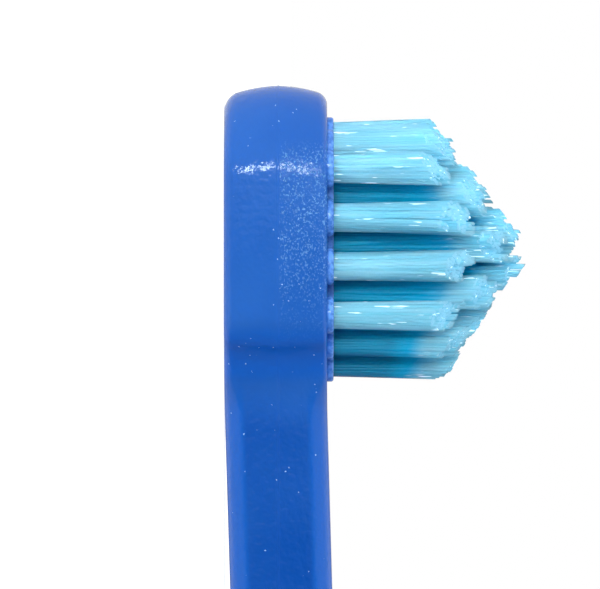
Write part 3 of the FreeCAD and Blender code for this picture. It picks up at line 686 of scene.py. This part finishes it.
def depth_in_field(points):
    """How far a place lies within the field of tufts: the least of its distances to the sides and to the cut.

    The field's sides are the lines through its outermost tufts, moved out by a tuft's radius. Its neck end is
    moved out further, and the tufts that stand there are deeper by the neck's shade.
    """
    corners = np.array([tuft_places[tag] for tag in FIELD_CORNERS])
    corners = np.concatenate([corners, corners[::-1] * (1, -1)])
    along = np.roll(corners, -1, axis=0) - corners
    length = np.linalg.norm(along, axis=1)
    keep = length > 0
    outward = np.stack([along[keep, 1], -along[keep, 0]], 1) / length[keep, None]
    side = (corners[keep] * outward).sum(1) - points[:, :2] @ outward.T + HOLE_RADIUS
    side += NECK_END * (outward[:, 0] < TOWARDS_NECK)
    below = trim_height(points[:, 0], points[:, 1]) - points[:, 2]
    shaded = NECK_SHADE * ease((NECK_END_X - points[:, 0]) / NECK_END_RUN)
    return np.clip(np.minimum(side.min(1) + shaded, CUT_SHARE * below), 0, None)


NYLON, PALE_NYLON, CUT_NYLON = (0.138, 0.41, 0.545), (0.212, 0.455, 0.58), (0.21, 0.45, 0.585)
# a white for painted glints, and two darker blues for painted shade deep in the field
GLINT_NYLON, SHADED_NYLON, DARKEST_SHADED_NYLON = (0.74, 0.92, 0.98), (0.002, 0.31, 0.54), (0.004, 0.19, 0.34)
OWN_TONE, PALE_IN, GLINT_IN = 0.25, (0.3, 0.95), (0.65, 0.70)
SHADE_IN, DARKEST_SHADE_IN = (0.7, 1.7), (1.6, 2.8)
nylon, shader, add, join = new_material("clear_blue_nylon")
shader.inputs["IOR"].default_value = 1.53
shader.inputs["Roughness"].default_value = 0.25
shader.inputs["Specular IOR Level"].default_value = 0.15
shader.subsurface_method = "BURLEY"
shader.inputs["Subsurface Weight"].default_value = 1.0
shader.inputs["Subsurface Radius"].default_value = (0.6, 1.1, 1.4)
shader.inputs["Subsurface Scale"].default_value = 0.0012
own_tone = add("Attribute", attribute_name="tone").outputs["Fac"]
cut_end = add("Attribute", attribute_name="cut_end").outputs["Fac"]
place = add("TexCoord").outputs["Object"]
lengthwise = add("Mapping")
lengthwise.inputs["Scale"].default_value = (1, 1, 0.12)
join(place, lengthwise.inputs["Vector"])
fibre = add("TexNoise", Scale=6000.0, Detail=2.0)
join(lengthwise.outputs["Vector"], fibre.inputs["Vector"])
bands = add("TexNoise", Scale=1500.0, Detail=1.0)
join(lengthwise.outputs["Vector"], bands.inputs["Vector"])
shade = combine(add, join, "ADD", combine(add, join, "MULTIPLY", own_tone, OWN_TONE), bands.outputs["Fac"])
colour = painted(add, join, ramp(add, join, shade, *PALE_IN), NYLON, PALE_NYLON)
colour = painted(add, join, cut_end, colour, CUT_NYLON)

# painted highlights: here and there a run of filaments is painted white as a glint
glints = add("TexNoise", Scale=4600.0, Detail=2.0)
join(lengthwise.outputs["Vector"], glints.inputs["Vector"])
colour = painted(add, join, ramp(add, join, glints.outputs["Fac"], *GLINT_IN), colour, GLINT_NYLON)

# painted shade: the nylon is painted darker and bluer the deeper it lies in the field of tufts
depth = add("Attribute", attribute_name="depth").outputs["Fac"]
colour = painted(add, join, ramp(add, join, depth, *SHADE_IN), colour, SHADED_NYLON)
colour = painted(add, join, ramp(add, join, depth, *DARKEST_SHADE_IN), colour, DARKEST_SHADED_NYLON)
join(colour, shader.inputs["Base Color"])
ripple = add("Bump", Strength=0.12, Distance=0.00001)
join(fibre.outputs["Fac"], ripple.inputs["Height"])
join(ripple.outputs["Normal"], shader.inputs["Normal"])

for order, (tag, at) in enumerate(tuft_places.items()):
    points, walls, ends, tone = filament_bundle(np.array(at), np.random.default_rng(FIRST_SEED + order))
    mesh = bpy.data.meshes.new(f"filaments_{tag}")
    mesh.from_pydata((points * MM).tolist(), [], walls.tolist() + ends.tolist())
    mesh.shade_smooth()
    mesh.set_sharp_from_angle(angle=SHARP_FILAMENT_EDGE)
    mesh.attributes.new("tone", "FLOAT", "POINT").data.foreach_set("value", tone.astype(np.float32))
    depth = depth_in_field(points).astype(np.float32)
    mesh.attributes.new("depth", "FLOAT", "POINT").data.foreach_set("value", depth)
    is_end = np.zeros(len(walls) + len(ends), np.float32)
    is_end[-(len(ends) // 2):] = 1
    mesh.attributes.new("cut_end", "FLOAT", "FACE").data.foreach_set("value", is_end)
    mesh.materials.append(nylon)
    tuft = bpy.data.objects.new(f"filaments_{tag}", mesh)
    bpy.context.scene.collection.objects.link(tuft)
    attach(tuft, "root")
    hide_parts(f"tuft_{tag}")


# ---------------------------------------------------------------------------------------------------------------
# The studio
# The brush lies on a white table that only the camera sees: it throws no light or shadow. Soft light comes from
# all round, darker from the side that the brush is seen from, and one slim strip light near the view gives the
# gloss on the tip.
# ---------------------------------------------------------------------------------------------------------------
scene = bpy.context.scene
scene.view_settings.view_transform = "Standard"

# the table is 6 m wide, and lies a hair under the brush's back so that the two don't share a plane
TABLE_HALF, TABLE_Z = 3.0, -0.02 * MM
table_mesh = bpy.data.meshes.new("table")
table_corners = [(x * TABLE_HALF, y * TABLE_HALF, TABLE_Z) for x, y in ((-1, -1), (1, -1), (1, 1), (-1, 1))]
table_mesh.from_pydata(table_corners, [], [(0, 1, 2, 3)])
table = bpy.data.objects.new("table", table_mesh)
scene.collection.objects.link(table)
white, shader, *_ = new_material("white_table")
shader.inputs["Base Color"].default_value = (0.62, 0.62, 0.62, 1)
shader.inputs["Roughness"].default_value = 0.7
shader.inputs["Specular IOR Level"].default_value = 0.0
shader.inputs["Emission Color"].default_value = (1, 1, 1, 1)
shader.inputs["Emission Strength"].default_value = 0.7
table_mesh.materials.append(white)
for rays in ("diffuse", "glossy", "transmission", "shadow"):
    setattr(table, f"visible_{rays}", False)

# light from each way, by a direction's share along an axis: where it starts, where it is full, and its level
TIP_LIGHT, NECK_LIGHT = (0.0, 0.09, 0.82), (0.72, 0.98, 0.32)
EDGE_LIGHT, FACE_LIGHT = (0.195, 0.225, 0.24), (0.45, 0.85, 1.17)
BEHIND_LIGHT, LEAST_LIGHT = (0.0, 0.5, 0.47), 0.09

world = bpy.data.worlds.new("studio")
world.use_nodes = True
scene.world = world
backdrop = world.node_tree.nodes["Background"]
add, join = node_tools(world.node_tree)


def light_from(share, start, full, level):
    """A light level that rises from nothing as a direction's share along an axis crosses a range."""
    return ramp(add, join, share, start, full, 0.0, level)


direction = add("TexCoord")
split = add("SeparateXYZ")
join(direction.outputs["Generated"], split.inputs[0])
towards_neck = combine(add, join, "MULTIPLY", split.outputs["X"], -1.0)
behind = combine(add, join, "MULTIPLY", split.outputs["Y"], -1.0)
across = combine(add, join, "ABSOLUTE", split.outputs["Z"])
from_ends = combine(add, join, "MAXIMUM", light_from(split.outputs["X"], *TIP_LIGHT),
                    light_from(towards_neck, *NECK_LIGHT))
from_faces = combine(add, join, "ADD", light_from(across, *EDGE_LIGHT), light_from(across, *FACE_LIGHT))
level = combine(add, join, "MAXIMUM", from_faces, light_from(behind, *BEHIND_LIGHT))
level = combine(add, join, "MAXIMUM", combine(add, join, "MAXIMUM", from_ends, level), LEAST_LIGHT)
seen = add("LightPath")
choose = add("Mix", data_type="FLOAT")
join(seen.outputs["Is Camera Ray"], choose.inputs[0])
join(level, choose.inputs[2])
choose.inputs[3].default_value = 1.0
join(choose.outputs[0], backdrop.inputs["Strength"])
backdrop.inputs["Color"].default_value = (1, 1, 1, 1)

# the strip is long across the side of the head and slim along it, and faces the head: metres and watts
HEAD_CENTRE = Vector((61.2, 0.0, 4.0)) * MM
STRIP_TURN, STRIP_DISTANCE = math.radians(20.4), 0.16
STRIP_LENGTH, STRIP_WIDTH, STRIP_POWER, STRIP_COLOUR = 0.075, 0.014, 0.155, (0.84, 1.0, 1.0)
strip = bpy.data.lights.new("strip_light", "AREA")
strip.shape = "RECTANGLE"
strip.size, strip.size_y, strip.energy, strip.color = STRIP_LENGTH, STRIP_WIDTH, STRIP_POWER, STRIP_COLOUR
strip_light = bpy.data.objects.new("strip_light", strip)
away = Vector((math.sin(STRIP_TURN), math.cos(STRIP_TURN), 0)).normalized()
upright = Vector((0, 0, 1))
facing = Matrix((upright, away.cross(upright), away)).transposed()
strip_light.matrix_world = Matrix.Translation(HEAD_CENTRE + away * STRIP_DISTANCE) @ facing.to_4x4()
strip_light.visible_camera = False
scene.collection.objects.link(strip_light)

# the view: square on to the brush's left side from far away, 32 mm wide in a plane 3 mm out from the middle
VIEW_X, VIEW_Z, VIEW_DISTANCE = 58.78, 4.05, 450.0
VIEW_WIDTH, VIEW_PLANE_Y, SENSOR_WIDTH = 32.0, 3.0, 36
camera = bpy.data.cameras.new("camera")
camera.sensor_width = SENSOR_WIDTH
camera.lens = SENSOR_WIDTH * (VIEW_DISTANCE - VIEW_PLANE_Y) / VIEW_WIDTH
camera.clip_start, camera.clip_end = 0.01, 20
viewer = bpy.data.objects.new("camera", camera)
viewer.matrix_world = (
    Matrix.Translation(Vector((VIEW_X, VIEW_DISTANCE, VIEW_Z)) * MM)
    @ Matrix(((0, 1, 0), (0, 0, 1), (1, 0, 0))).to_4x4()
)
scene.collection.objects.link(viewer)
scene.camera = viewer
